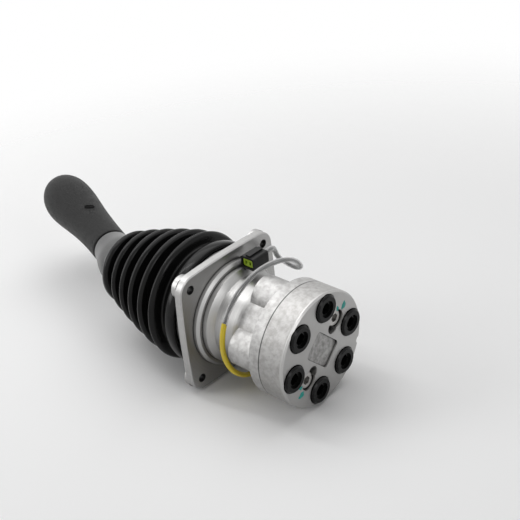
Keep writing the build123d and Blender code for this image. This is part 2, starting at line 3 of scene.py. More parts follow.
import json
from math import asin, cos, pi, radians, sin, tan

import bmesh
import bpy
from mathutils import Matrix, Vector


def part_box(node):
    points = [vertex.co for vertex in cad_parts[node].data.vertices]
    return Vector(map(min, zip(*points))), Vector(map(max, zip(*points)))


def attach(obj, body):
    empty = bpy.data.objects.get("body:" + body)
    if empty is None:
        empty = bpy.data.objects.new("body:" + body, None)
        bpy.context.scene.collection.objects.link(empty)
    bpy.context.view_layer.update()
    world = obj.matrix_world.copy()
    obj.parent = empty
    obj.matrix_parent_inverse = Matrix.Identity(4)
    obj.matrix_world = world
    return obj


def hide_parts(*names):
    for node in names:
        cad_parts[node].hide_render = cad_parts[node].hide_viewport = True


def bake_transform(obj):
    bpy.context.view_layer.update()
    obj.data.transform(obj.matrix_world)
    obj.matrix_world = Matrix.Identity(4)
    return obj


bl_info = {
    "name": "Pilot Joystick Valve",
    "version": (1, 0, 0),
    "blender": (4, 5, 0),
    "location": "3D View > Sidebar > Pilot valve",
    "description": "Makes the boot, grip, harness and finishes of a hydraulic pilot joystick valve",
    "category": "Object",
}

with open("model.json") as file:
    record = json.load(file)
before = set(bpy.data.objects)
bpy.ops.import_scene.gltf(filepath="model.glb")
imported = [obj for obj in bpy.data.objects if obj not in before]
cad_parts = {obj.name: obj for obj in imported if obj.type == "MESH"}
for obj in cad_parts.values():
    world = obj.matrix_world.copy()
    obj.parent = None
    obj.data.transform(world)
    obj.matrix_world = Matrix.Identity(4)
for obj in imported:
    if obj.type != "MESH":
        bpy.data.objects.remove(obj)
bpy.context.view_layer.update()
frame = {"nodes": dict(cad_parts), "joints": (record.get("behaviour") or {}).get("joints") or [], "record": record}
NODES = frame["nodes"]
MM = 0.001

# ------------------------------------------------------------------ places taken from the frame
FLANGE_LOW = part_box("mounting_flange")[0]
BLOCK_LOW, BLOCK_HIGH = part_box("port_block")
FACE_X = BLOCK_HIGH[0]
BASE_X = BLOCK_LOW[0]
BODY_R = (BLOCK_HIGH[2] - BLOCK_LOW[2]) / 2
BARREL_X = 35 * MM  # where the cast lobes begin
BOLTS = next(m for m in frame["record"]["mounts"] if m["name"] == "flange_bolts")
HOLE_PITCH = BOLTS["dims"]["spacing_x_mm"] * MM
HOLE_R = BOLTS["dims"]["hole_r_mm"] * MM

HORN_SLIDE = next(j for j in frame["joints"] if j["name"] == "horn_press")
LEVER_DIR = -Vector(HORN_SLIDE["axis"]).normalized()
TILT = next(j for j in frame["joints"] if j["name"] == "tilt_sideways")
PIVOT = Vector(TILT["pos_m"])
BEND = asin(LEVER_DIR.y)
CORNER = Vector((-122 * MM, 0, 0))  # where the lever's two straight lines would meet
LEVER_UP = Vector((0, 0, 1))
LEVER_SIDE = LEVER_UP.cross(LEVER_DIR)

GRIP_FROM = 29.2 * MM
GRIP_LENGTH = 132.5 * MM


def on_lever(distance, side=0.0):
    """A point on or beside the bent part of the lever, at a distance from its corner."""
    return CORNER + LEVER_DIR * distance + LEVER_SIDE * side


# ------------------------------------------------------------------ shader maths
class Value:
    """One output of a shader node. Python's operators on it add Math nodes."""

    def __init__(self, finish, socket):
        self.finish = finish
        self.socket = socket

    def math(self, operation, *others):
        inputs = dict(enumerate((self, *others)))
        return self.finish.add("ShaderNodeMath", inputs, {"operation": operation})

    def __add__(self, other):
        return self.math("ADD", other)

    __radd__ = __add__

    def __sub__(self, other):
        return self.math("SUBTRACT", other)

    def __rsub__(self, other):
        return (self * -1) + other

    def __mul__(self, other):
        return self.math("MULTIPLY", other)

    __rmul__ = __mul__

    def __pow__(self, other):
        return self.math("POWER", other)

    def step(self, edge, softness):
        """0 below an edge and 1 above it, with a soft change between them."""
        settings = {"interpolation_type": "SMOOTHSTEP"}
        inputs = {"Value": self, "From Min": edge - softness, "From Max": edge + softness}
        return self.finish.add("ShaderNodeMapRange", inputs, settings)


class Finish:
    """A material and its nodes."""

    def __init__(self, name, **surface):
        self.material = bpy.data.materials.new(name)
        self.material.use_nodes = True
        self.tree = self.material.node_tree
        self.surface = self.tree.nodes["Principled BSDF"]
        for key, value in surface.items():
            self.surface.inputs[key.replace("_", " ")].default_value = value

    def put(self, socket, value):
        if isinstance(value, Value):
            self.tree.links.new(value.socket, socket)
        elif socket.type == "RGBA" and len(value) == 3:
            socket.default_value = (*value, 1)
        else:
            socket.default_value = value

    def add(self, kind, inputs=None, settings=None, output=0):
        """Adds a node of a kind: its settings first, then the values or links of its sockets."""
        node = self.tree.nodes.new(kind)
        for key, value in (settings or {}).items():
            setattr(node, key, value)
        for key, value in (inputs or {}).items():
            self.put(node.inputs[key], value)
        return Value(self, node.outputs[output])

    def place(self):
        """Position on the piece, which moves with it."""
        return self.add("ShaderNodeTexCoord", output="Object")

    def axes(self, place):
        node = self.tree.nodes.new("ShaderNodeSeparateXYZ")
        self.put(node.inputs[0], place)
        return [Value(self, out) for out in node.outputs]

    def noise(self, place, size, detail=3.0, roughness=0.5):
        """Noise whose features are about a size across, in metres."""
        inputs = {"Vector": place, "Scale": 1 / size, "Detail": detail, "Roughness": roughness}
        return self.add("ShaderNodeTexNoise", inputs)

    def blend(self, factor, first, second):
        inputs = {0: factor, 6: first, 7: second}
        return self.add("ShaderNodeMix", inputs, {"data_type": "RGBA"}, 2)

    def rows(self, along, size):
        """Uneven parallel lines about a size apart across a direction."""
        inputs = {"W": along, "Scale": 1 / size, "Detail": 2.0}
        return self.add("ShaderNodeTexNoise", inputs, {"noise_dimensions": "1D"})

    def bump(self, height, distance, strength=1.0):
        inputs = {"Height": height, "Distance": distance, "Strength": strength}
        return self.add("ShaderNodeBump", inputs)

    def unshaded(self, reach):
        """Ambient occlusion for painted shade: 1 in the open and lower in corners and grooves."""
        return self.add("ShaderNodeAmbientOcclusion", {"Distance": reach}, {"samples": 8}, "AO")

    def painted_hollow_shade(self, colour, reach, dark):
        """Painted shade: a colour that turns dark in holes and a little darker in corners."""
        shut = 1 - self.unshaded(reach)
        in_hole = shut.step(0.4, 0.14)
        return self.blend(shut * 0.2 + in_hole * 0.75, colour, dark)

    def set(self, **values):
        for key, value in values.items():
            self.put(self.surface.inputs[key.replace("_", " ")], value)
        return self.material


def grey(level, warmth=0.0):
    return (level, level * (1 - warmth * 0.4), level * (1 - warmth))


def length(a, b):
    """Distance from zero of a point with two coordinates."""
    return (a * a + b * b) ** 0.5


SAND = 0.9 * MM  # grain of a sand casting
PITS = 4 * MM  # and its larger unevenness
SHADE_REACH = 4 * MM  # reach of the painted shade in corners
# dark colour of the parting line, and of the painted shade in corners and holes
JOINT_AND_SHADE_DARK = grey(0.03)


def parting_line(x):
    """1 in the fine dark line where the block meets the body."""
    return 1 - (x - BASE_X).math("ABSOLUTE").step(0.45 * MM, 0.2 * MM)


def flange_hole_shade(y, z):
    """1 inside the flange's four holes, whose walls get painted shade."""
    across, along = (v.math("ABSOLUTE") - HOLE_PITCH / 2 for v in (y, z))
    return 1 - length(across, along).step(HOLE_R + 0.2 * MM, 0.12 * MM)


def cast_aluminium(looks):
    """Casting, rough on its lobes and turned bright on its neck, rings and flange."""
    f = Finish("cast_aluminium", Metallic=1.0)
    place = f.place()
    x, y, z = f.axes(place)
    lobes = x.step(BARREL_X - 1 * MM, 0.8 * MM)
    turned = 1 - lobes
    on_face = 1 - x.step(1.5 * MM, 1 * MM)
    lines = f.rows(on_face * length(y, z) + (1 - on_face) * x, 1.1 * MM)
    sand = f.noise(place, SAND, 4, 0.65)
    pits = f.noise(place, PITS, 3)
    stain = f.noise(place, 20 * MM, 4, 0.6)
    bare = looks.aluminium
    shade = f.blend(stain, grey(bare * 0.8, 0.02), grey(bare, 0.02))
    streaky = f.blend(lines * turned * 0.5, shade, grey(bare * 0.62, 0.02))
    dusty = f.blend(lobes * pits.step(0.5, 0.2) * 0.8, streaky, grey(bare * 0.6, 0.04))
    # Painted shade: the flange's holes turn near black inside, and corners and holes darken by ambient occlusion.
    colour = f.blend(flange_hole_shade(y, z) * 0.92, f.painted_hollow_shade(dusty, SHADE_REACH, JOINT_AND_SHADE_DARK), grey(0.02))
    height = lobes * (sand * 0.8 + pits * 3.2) + turned * (lines * 0.25)
    return f.set(
        Base_Color=f.blend(parting_line(x) * 0.85, colour, JOINT_AND_SHADE_DARK),
        Roughness=lobes * 0.14 + stain * 0.12 + lines * turned * 0.1 + 0.26,
        Normal=f.bump(height, 0.16 * MM, 0.6),
    )


def machined_aluminium(looks):
    """Port block: milled face, cast outer skin and badge floor, bright turned rim."""
    f = Finish("machined_aluminium", Metallic=1.0)
    place = f.place()
    x, y, z = f.axes(place)
    radius = length(y, z)
    behind = 1 - x.step(FACE_X - 2.2 * MM, 0.4 * MM)
    skin = behind * radius.step(BODY_R - 2 * MM, 0.6 * MM)
    recessed = 1 - x.step(FACE_X - 0.4 * MM, 0.15 * MM)
    badge = recessed * (1 - radius.step(15 * MM, 0.8 * MM))
    sand = f.noise(place, SAND, 4, 0.65)
    pits = f.noise(place, PITS, 4, 0.6)
    stain = f.noise(place, 16 * MM, 4, 0.6)
    milled = f.rows(y + z * 0.35, 1.2 * MM)
    bare = looks.aluminium
    pitted = pits.step(0.5, 0.2)
    shade = f.blend(stain, grey(bare * 0.78, 0.03), grey(bare, 0.02))
    shade = f.blend(skin * (pitted * 0.7 + 0.2), shade, grey(bare * 0.6, 0.05))
    shade = f.blend(badge * pitted * 0.8, shade, grey(bare * 0.4, 0.04))
    rough = skin * (sand * 0.8 + pits * 3) + badge * (pits * 3 + sand)
    height = rough + (1 - skin - badge) * (milled * 0.15)
    # Painted shade: corners and holes of the block darken by ambient occlusion.
    return f.set(
        Base_Color=f.blend(parting_line(x) * 0.85, f.painted_hollow_shade(shade, SHADE_REACH, JOINT_AND_SHADE_DARK), JOINT_AND_SHADE_DARK),
        Roughness=skin * 0.1 + badge * 0.1 + stain * 0.1 + 0.32,
        Normal=f.bump(height, 0.14 * MM, 0.55),
    )


def plain_steel():
    """Turned steel of the inner pieces."""
    f = Finish("plain_steel", Metallic=1.0)
    place = f.place()
    x, _, _ = f.axes(place)
    cloud = f.noise(place, 6 * MM, 4)
    lines = (x * (2 * pi / (0.7 * MM))).math("SINE") * 0.5 + 0.5
    return f.set(
        Base_Color=f.blend(cloud, grey(0.32, 0.03), grey(0.46, 0.03)),
        Roughness=cloud * 0.2 + 0.22,
        Normal=f.bump(lines * 0.5 + cloud, 0.05 * MM, 0.4),
    )


def screw_steel():
    """Dull zinc plating, with painted shade in the socket."""
    f = Finish("screw_steel", Metallic=1.0)
    place = f.place()
    cloud = f.noise(place, 3 * MM, 4)
    plating = f.blend(cloud, grey(0.4, 0.05), grey(0.62, 0.05))
    # Painted shade: the socket and corners darken by ambient occlusion.
    return f.set(
        Base_Color=f.blend((1 - f.unshaded(3 * MM)) * 0.9, plating, grey(0.06, 0.1)),
        Roughness=cloud * 0.2 + 0.25,
        Normal=f.bump(cloud, 0.06 * MM, 0.5),
    )


def moulded_black(name, level, roughness, grain, depth, coat=0.0, shine=0.5):
    """Black plastic or rubber with a faint moulded texture and handling marks."""
    f = Finish(name, Coat_Roughness=0.12, Specular_IOR_Level=shine)
    place = f.place()
    fine = f.noise(place, grain, 3, 0.6)
    cloud = f.noise(place, 16 * MM, 3)
    dust = f.noise(place, 5 * MM, 5, 0.7).step(0.62, 0.1)
    return f.set(
        Base_Color=f.blend(dust * 0.25 + cloud * 0.3, grey(level), grey(level * 2.2)),
        Roughness=cloud * 0.12 + dust * 0.08 + (roughness - 0.06),
        Coat_Weight=coat,
        Normal=f.bump(fine, depth, 0.5),
    )


def grip_plastic(looks):
    """Fine leather grain on moulded plastic, with painted shade in the grain's creases."""
    f = Finish("grip_plastic", Specular_IOR_Level=0.16)
    place = f.place()
    warp = f.noise(place, 4 * MM, 2)
    inputs = {"Vector": place, "Scale": 1 / (2.1 * MM)}
    cells = f.add("ShaderNodeTexVoronoi", inputs, {"feature": "DISTANCE_TO_EDGE"})
    creases = cells.step(0.09, 0.08)
    fine = f.noise(place, 0.5 * MM, 3)
    cloud = f.noise(place, 22 * MM, 3)
    height = creases * 0.7 + fine * 0.35 + warp * 0.3
    # Painted shade: the crease lines between the grain's cells get the darkest colour.
    crease_shade, lightest = grey(looks.black * 0.1), grey(looks.black * 1.8)
    return f.set(
        Base_Color=f.blend(creases * 0.7 + cloud * 0.3, crease_shade, lightest),
        Roughness=0.44 - creases * 0.06 + cloud * 0.1,
        Normal=f.bump(height, 0.5 * MM, 0.9),
    )


def plain_colour(name, colour, roughness, grain=1.2 * MM, metallic=0.0):
    """One colour with faint clouds and a fine grain."""
    f = Finish(name, Metallic=metallic)
    place = f.place()
    fine = f.noise(place, grain, 3)
    cloud = f.noise(place, 9 * MM, 3)
    darker = tuple(c * 0.8 for c in colour)
    return f.set(
        Base_Color=f.blend(cloud, darker, colour),
        Roughness=cloud * 0.1 + (roughness - 0.05),
        Normal=f.bump(fine, 0.05 * MM, 0.4),
    )


def clear_sleeve():
    """Soft clear tube that shows the wires in it."""
    f = Finish("clear_sleeve", Roughness=0.12, IOR=1.4)
    place = f.place()
    cloud = f.noise(place, 5 * MM, 3)
    edge = f.add("ShaderNodeLayerWeight", {"Blend": 0.35}, output="Facing")
    return f.set(Base_Color=f.blend(cloud, grey(0.8), grey(0.92)), Alpha=edge * 0.7 + 0.22)


def paint(looks):
    """Dabbed marking paint, uneven in colour and thickness."""
    f = Finish("marking_paint", Roughness=0.45)
    cloud = f.noise(f.place(), 1.5 * MM, 3)
    bright = tuple(looks.paint_mark)
    thin = tuple(c * 0.5 for c in bright)
    return f.set(Base_Color=f.blend(cloud, thin, bright), Normal=f.bump(cloud, 0.1 * MM, 0.6))


# ------------------------------------------------------------------ mesh helpers
def keep(name, mesh, material, body=None):
    """Makes the object for a finished mesh, gives it a finish and lets it ride on a body."""
    piece = bpy.data.objects.new(name, mesh)
    bpy.context.scene.collection.objects.link(piece)
    for one in material if isinstance(material, list) else [material]:
        mesh.materials.append(one)
    mesh.polygons.foreach_set("use_smooth", [True] * len(mesh.polygons))
    if body:
        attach(piece, body)
    return piece


def skin(name, rings, ends="capped"):
    """Quads between rings of points, which are capped at both ends or joined end to end."""
    count = len(rings[0])
    points = [p for ring in rings for p in ring]
    faces = []
    pairs = list(zip(range(len(rings) - 1), range(1, len(rings))))
    if ends == "joined":
        pairs.append((len(rings) - 1, 0))
    for a, b in pairs:
        for i in range(count):
            j = (i + 1) % count
            faces.append((a * count + i, a * count + j, b * count + j, b * count + i))
    if ends == "capped":
        faces.append(tuple(reversed(range(count))))
        faces.append(tuple((len(rings) - 1) * count + i for i in range(count)))
    mesh = bpy.data.meshes.new(name)
    mesh.from_pydata(points, [], faces)
    face_outwards(mesh)
    return mesh


def face_outwards(mesh):
    """Merges points that meet and turns every face outwards."""
    work = bmesh.new()
    work.from_mesh(mesh)
    bmesh.ops.remove_doubles(work, verts=work.verts, dist=1e-6)
    bmesh.ops.recalc_face_normals(work, faces=work.faces)
    work.to_mesh(mesh)
    work.free()


def circle(centre, side, up, radius, count, squeeze=1.0):
    """A ring of points round a centre, squeezed along its up direction if asked."""
    turns = [2 * pi * i / count for i in range(count)]
    return [centre + side * (radius * cos(t)) + up * (radius * squeeze * sin(t)) for t in turns]


def rounded_box_loop(centre, side, up, half_side, half_up, power, count):
    """A rectangle with rounded corners, as a ring of points."""
    points = []
    for i in range(count):
        t = 2 * pi * i / count
        c, s = cos(t), sin(t)
        k = (abs(c) ** power + abs(s) ** power) ** (-1 / power)
        points.append(centre + side * (half_side * c * k) + up * (half_up * s * k))
    return points


def smooth_through(table, place):
    """Value at a place of a smooth line through (place, value) pairs."""
    last = len(table) - 1
    i = max(0, min(last - 1, sum(place >= p for p, _ in table) - 1))
    (x0, y0), (x1, y1) = table[i], table[i + 1]
    before, after = table[max(i - 1, 0)], table[min(i + 2, last)]
    slope0 = (y1 - before[1]) / (x1 - before[0])
    slope1 = (after[1] - y0) / (after[0] - x0)
    u = min(1, max(0, (place - x0) / (x1 - x0)))
    run = x1 - x0
    a = (2 * u**3 - 3 * u**2 + 1) * y0 + (u**3 - 2 * u**2 + u) * run * slope0
    return a + (-2 * u**3 + 3 * u**2) * y1 + (u**3 - u**2) * run * slope1


# ------------------------------------------------------------------ settings
class PILOTVALVE_PG_looks(bpy.types.PropertyGroup):
    aluminium: bpy.props.FloatProperty(
        name="Aluminium",
        description="Brightness of the bare aluminium",
        default=0.47,
        min=0,
        max=1,
    )
    black: bpy.props.FloatProperty(
        name="Black",
        description="Brightness of the black plastic",
        default=0.014,
        min=0,
        max=0.2,
    )
    yellow: bpy.props.FloatVectorProperty(
        name="Yellow sleeve",
        description="Colour of the harness's yellow sleeve",
        subtype="COLOR",
        default=(0.84, 0.64, 0.03),
        min=0,
        max=1,
    )
    green: bpy.props.FloatVectorProperty(
        name="Insert",
        description="Colour of the connector's insert",
        subtype="COLOR",
        default=(0.42, 0.62, 0.02),
        min=0,
        max=1,
    )
    paint_mark: bpy.props.FloatVectorProperty(
        name="Paint marks",
        description="Colour of the paint marks beside the screws",
        subtype="COLOR",
        default=(0.0, 0.36, 0.31),
        min=0,
        max=1,
    )


class PILOTVALVE_PG_boot(bpy.types.PropertyGroup):
    pleats: bpy.props.IntProperty(
        name="Pleats",
        description="Number of pleats",
        default=6,
        min=2,
        max=12,
    )
    pitch: bpy.props.FloatProperty(
        name="Pitch",
        description="Distance from pleat to pleat",
        default=14.8 * MM,
        unit="LENGTH",
    )
    depth: bpy.props.FloatProperty(
        name="Depth",
        description="Depth of the valleys",
        default=9.0 * MM,
        unit="LENGTH",
    )
    wall: bpy.props.FloatProperty(
        name="Wall",
        description="Thickness of the rubber",
        default=1.6 * MM,
        unit="LENGTH",
    )
    large: bpy.props.FloatProperty(
        name="Large radius",
        description="Radius of the first pleat",
        default=51.5 * MM,
        unit="LENGTH",
    )
    small: bpy.props.FloatProperty(
        name="Small radius",
        description="Radius of the last pleat",
        default=31 * MM,
        unit="LENGTH",
    )


class PILOTVALVE_PG_stage(bpy.types.PropertyGroup):
    azimuth: bpy.props.FloatProperty(
        name="Azimuth",
        description="Camera's direction round the object",
        default=radians(44.21),
        subtype="ANGLE",
    )
    elevation: bpy.props.FloatProperty(
        name="Elevation",
        description="Camera's height above the horizon",
        default=radians(31.02),
        subtype="ANGLE",
    )
    roll: bpy.props.FloatProperty(
        name="Roll",
        description="Camera's turn about its own line of sight",
        default=radians(5.33),
        subtype="ANGLE",
    )
    distance: bpy.props.FloatProperty(
        name="Distance",
        description="Camera to the point it looks at",
        default=0.8,
        unit="LENGTH",
    )
    lens: bpy.props.FloatProperty(
        name="Lens",
        description="Focal length in millimetres",
        default=68.8,
    )
    key: bpy.props.FloatProperty(
        name="Key",
        description="Power of the large overhead lamp",
        default=14.0,
        subtype="POWER",
    )
    world: bpy.props.FloatProperty(
        name="World",
        description="Level of the light from all round",
        default=0.14,
    )


# ------------------------------------------------------------------ boot
BOOT_FROM = -14.3 * MM
BEND_REACH = 16 * MM
BOOT_SPLIT_PLEAT = 2
BOOT_SKIRT = 8 * MM  # plain length at the flange
SEAM_LAP = 1.5 * MM  # this far on either side of the halves' seam
BEND_START = PIVOT.x + 2 * MM  # 2 mm along +X from the pivot
BEND_END = CORNER.x + 9 * MM  # 9 mm along +X from the lever's corner
ROUND_HALF, FOOT_HALF = 0.15, 0.36  # shares of a pleat where its crest ends and its valley begins
CREST_DROP = 0.14  # share of the depth that the rounded crest takes
PLEAT_STEPS = 24

# (distance, radius) in millimetres of the foot, and of the lip counted from the last crest
BOOT_FOOT = [(0, 47), (0.5, 48.2), (2, 48.8), (7, 49), (10, 48), (12, 45), (13.4, 43)]
BOOT_LIP = [
    (1, -0.3),
    (2, -1.2),
    (2.8, -2.9),
    (3.3, -5.2),
    (3.7, -7.4),
    (4.6, -8.6),
    (6, -9),
    (9, -9.2),
    (9.6, -9.4),
]


def boot_line(s):
    """Centre and side direction of the boot at a distance from its foot."""
    straight = BOOT_FROM - CORNER.x - BEND_REACH
    arc_radius = BEND_REACH / tan(BEND / 2)
    if s <= straight:
        return Vector((BOOT_FROM - s, 0, 0)), Vector((0, 1, 0))
    angle = min((s - straight) / arc_radius, BEND)
    past = s - straight - angle * arc_radius
    ahead = Vector((-cos(angle), sin(angle), 0))
    side = Vector((sin(angle), cos(angle), 0))
    start = Vector((BOOT_FROM - straight, 0, 0))
    centre = start + Vector((-sin(angle), 1 - cos(angle), 0)) * arc_radius + ahead * past
    return centre, side


def boot_crests(boot):
    """(distance, radius) of each crest; the radii shrink faster towards the lever."""
    first = BOOT_SKIRT + boot.pitch
    crests = []
    for k in range(boot.pleats):
        share = k / (boot.pleats - 1)
        crests.append((first + k * boot.pitch, boot.large + (boot.small - boot.large) * share**1.3))
    return crests


def boot_profile(boot):
    """(distance, radius) pairs of the outer skin, from its foot to the lip that grips the sleeve."""
    crests = boot_crests(boot)
    line = [(s * MM, r * MM) for s, r in BOOT_FOOT]
    before = (crests[0][0] - boot.pitch, boot.large)
    for count, ((s0, r0), (s1, r1)) in enumerate(zip([before, *crests], crests)):
        for i in range(PLEAT_STEPS // 2 if count == 0 else 1, PLEAT_STEPS + 1):
            u = i / PLEAT_STEPS
            edge = min(u, 1 - u)
            slide = min(1, max(0, (edge - ROUND_HALF) / (FOOT_HALF - ROUND_HALF)))
            crest = CREST_DROP * min(1, edge / ROUND_HALF) ** 2
            dip = crest + (1 - CREST_DROP) * slide * slide * (3 - 2 * slide)
            line.append((s0 + (s1 - s0) * u, r0 + (r1 - r0) * u - boot.depth * dip))
    last_s, last_r = crests[-1]
    line += [(last_s + s * MM, last_r + r * MM) for s, r in BOOT_LIP]
    return line


def boot_rings(line, wall, count=96):
    """Rings of the outer skin and back along the inner one."""
    outer = []
    inner = []
    for s, r in line:
        centre, side = boot_line(s)
        outer.append(circle(centre, side, LEVER_UP, r, count))
        inner.append(circle(centre, side, LEVER_UP, r - wall, count))
    return outer + inner[::-1]


class PILOTVALVE_OT_boot(bpy.types.Operator):
    """Make the pleated rubber boot in two halves"""

    bl_idname = "pilot_valve.boot"
    bl_label = "Boot"

    def execute(self, context):
        boot = context.scene.pilot_valve_boot
        level = context.scene.pilot_valve_looks.black * 0.25
        rubber = moulded_black("boot_rubber", level, 0.2, 0.7 * MM, 0.012 * MM, shine=0.18)
        line = boot_profile(boot)
        crests = boot_crests(boot)
        split = (crests[BOOT_SPLIT_PLEAT - 1][0] + crests[BOOT_SPLIT_PLEAT][0]) / 2
        cut = min(range(len(line)), key=lambda i: abs(line[i][0] - split))
        seam_x = BOOT_FROM - line[cut][0]
        halves = (
            ("boot_lower", line[: cut + 1], "housing", "cross", BEND_START, seam_x + SEAM_LAP),
            ("boot_upper", line[cut:], "cross", "lever", seam_x - SEAM_LAP, BEND_END),
        )
        for name, part, first, second, start_x, end_x in halves:
            mesh = skin(name, boot_rings(part, boot.wall), "joined")
            half = keep(name, mesh, rubber)
            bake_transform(half)
            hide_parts("boot")
        return {"FINISHED"}


# ------------------------------------------------------------------ return springs
SPRING_TURNS = 5
SPRING_WIRE_R = 1 * MM
SPRING_STEPS = 24  # rings in each turn
SPRING_POINTS = 10  # round the wire


def coil_rings(low, high):
    """Rings along a coil that just fills a box, its turns stacked along X."""
    middle = (low + high) / 2
    radius = (high.z - low.z) / 2 - SPRING_WIRE_R
    rise = (high.x - low.x - 2 * SPRING_WIRE_R) / SPRING_TURNS
    along = Vector((1, 0, 0))
    rings = []
    for step in range(SPRING_TURNS * SPRING_STEPS + 1):
        turn = step / SPRING_STEPS
        out = Vector((0, cos(2 * pi * turn), sin(2 * pi * turn)))
        start = Vector((low.x + SPRING_WIRE_R, middle.y, middle.z))
        centre = start + along * rise * turn + out * radius
        rings.append(circle(centre, out, along, SPRING_WIRE_R, SPRING_POINTS))
    return rings


class PILOTVALVE_OT_springs(bpy.types.Operator):
    """Make the four return springs"""

    bl_idname = "pilot_valve.springs"
    bl_label = "Return springs"

    def execute(self, context):
        wire = plain_colour("spring_wire", grey(0.3, 0.05), 0.3, metallic=1.0)
        for number in (1, 2, 3, 4):
            node = f"return_spring_{number}"
            low, high = (Vector(corner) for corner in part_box(node))
            name = f"coil_{number}"
            coil = keep(name, skin(name, coil_rings(low, high)), wire)
            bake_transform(coil)
            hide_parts(node)
        return {"FINISHED"}


# ------------------------------------------------------------------ sleeve and grip
# (distance past the lever's corner, radius) in millimetres
SLEEVE_SHAPE = [
    (-7, 10),
    (-7, 19.9),
    (-6.4, 20.4),
    (0, 20.9),
    (5, 20.9),
    (9, 20.2),
    (14, 18.9),
    (20, 17.4),
    (25, 16.5),
    (27.2, 16.2),
    (27.8, 15.9),
    (28, 15.3),
    (28, 6.2),
]
SLEEVE_POINTS = 72


class PILOTVALVE_OT_sleeve(bpy.types.Operator):
    """Make the smooth cone between the boot and the grip"""

    bl_idname = "pilot_valve.sleeve"
    bl_label = "Sleeve"

    def execute(self, context):
        level = context.scene.pilot_valve_looks.black * 7
        finish = moulded_black("sleeve_plastic", level, 0.34, 0.8 * MM, 0.03 * MM, 0.15, 0.3)
        rings = []
        for distance, radius in SLEEVE_SHAPE:
            centre = on_lever(distance * MM)
            rings.append(circle(centre, LEVER_SIDE, LEVER_UP, radius * MM, SLEEVE_POINTS))
        mesh = skin("lever_sleeve", rings, "joined")
        sleeve = keep("lever_sleeve", mesh, finish, "lever")
        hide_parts("sleeve")
        return {"FINISHED"}


# Shares of the grip's length, each with a radius or a sideways lean in millimetres
GRIP_SHAPE = [
    (0, 15.9),
    (0.02, 16.2),
    (0.12, 16.3),
    (0.25, 16.8),
    (0.4, 18.0),
    (0.55, 19.9),
    (0.68, 21.7),
    (0.78, 22.4),
    (0.88, 21.6),
    (0.95, 19.2),
    (0.985, 16.8),
    (1.0, 15.0),
]
GRIP_LEAN = [(0, 0), (0.3, 0.1), (0.6, 1.0), (0.8, 1.7), (1.0, 1.2)]
GRIP_POINTS = 80
GRIP_STEPS = 60
GRIP_BORE = [(20, 6.3), (0, 6.3), (0, 15.0), (0.3, 15.6)]  # distance in, radius
POCKET = [(1.2, 13.4, 9.6), (1.5, 12.4, 8.4), (1.2, 11.6, 7.6), (-12, 11.6, 7.6)]  # lift, half sizes
SLOT_SHARE = 0.385
SLOT = [(-2, 1, 0.4), (-2, 4.3, 2.3), (0.1, 4.5, 2.5), (0.2, 4.2, 2.2), (0.05, 3.8, 1.9), (0.02, 1, 0.5)]


class PILOTVALVE_OT_grip(bpy.types.Operator):
    """Make the hand grip with its rounded head and the pocket for the horn button"""

    bl_idname = "pilot_valve.grip"
    bl_label = "Grip"

    def execute(self, context):
        looks = context.scene.pilot_valve_looks
        rings = self.bore() + self.outside() + self.pocket()
        mesh = skin("hand_grip", rings)
        grip = keep("hand_grip", mesh, grip_plastic(looks), "lever")
        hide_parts("grip")
        self.slot_mark()
        return {"FINISHED"}

    def bore(self):
        """Blind hole for the rod, out to the rim that faces the sleeve."""
        rings = []
        for inward, radius in GRIP_BORE:
            centre = on_lever(GRIP_FROM + inward * MM)
            rings.append(circle(centre, LEVER_SIDE, LEVER_UP, radius * MM, GRIP_POINTS))
        return rings

    def outside(self):
        rings = []
        for i in range(GRIP_STEPS + 1):
            share = 1 - (1 - i / GRIP_STEPS) ** 1.25
            radius = smooth_through(GRIP_SHAPE, share) * MM
            lean = smooth_through(GRIP_LEAN, share) * MM
            centre = on_lever(GRIP_FROM + share * GRIP_LENGTH, lean)
            rings.append(circle(centre, LEVER_SIDE, LEVER_UP, radius, GRIP_POINTS, 0.98))
        return rings

    def pocket(self):
        """Raised rim and pocket for the horn button; its points start where the outside's do."""
        end = GRIP_FROM + GRIP_LENGTH
        quarter = GRIP_POINTS // 4
        rings = []
        for lift, half_up, half_side in POCKET:
            sizes = (half_up * MM, half_side * MM, 5, GRIP_POINTS)
            ring = rounded_box_loop(on_lever(end + lift * MM), LEVER_UP, -LEVER_SIDE, *sizes)
            rings.append(ring[-quarter:] + ring[:-quarter])
        return rings

    def on_grip(self, point, lift):
        """The point of the grip's surface under a point, lifted off it."""
        distance = (point - CORNER).dot(LEVER_DIR)
        share = (distance - GRIP_FROM) / GRIP_LENGTH
        centre = on_lever(distance, smooth_through(GRIP_LEAN, share) * MM)
        radius = smooth_through(GRIP_SHAPE, share) * MM
        return centre + (point - centre).normalized() * (radius + lift)

    def slot_mark(self):
        """Short dark inlay that stands for the slot on the grip's upper side; its near-black colour is painted
        shade inside the slot.
        """
        out = (LEVER_UP * 0.96 - LEVER_SIDE * 0.05).normalized()
        across = LEVER_DIR.cross(out)
        long = (across * 0.9 - LEVER_DIR * 0.43).normalized()
        radius = smooth_through(GRIP_SHAPE, SLOT_SHARE) * MM
        seat = on_lever(GRIP_FROM + SLOT_SHARE * GRIP_LENGTH) + out * radius
        rings = []
        for lift, half_long, half_wide in SLOT:
            loop = rounded_box_loop(seat, long, long.cross(out), half_long * MM, half_wide * MM, 3, 28)
            rings.append([self.on_grip(point, lift * MM) for point in loop])
        # Painted shade: a near-black finish stands in for the dark inside of the slot.
        finish = moulded_black("slot_shade", 0.001, 0.6, 0.5 * MM, 0.01 * MM, shine=0.05)
        keep("grip_slot", skin("grip_slot", rings), finish, "lever")


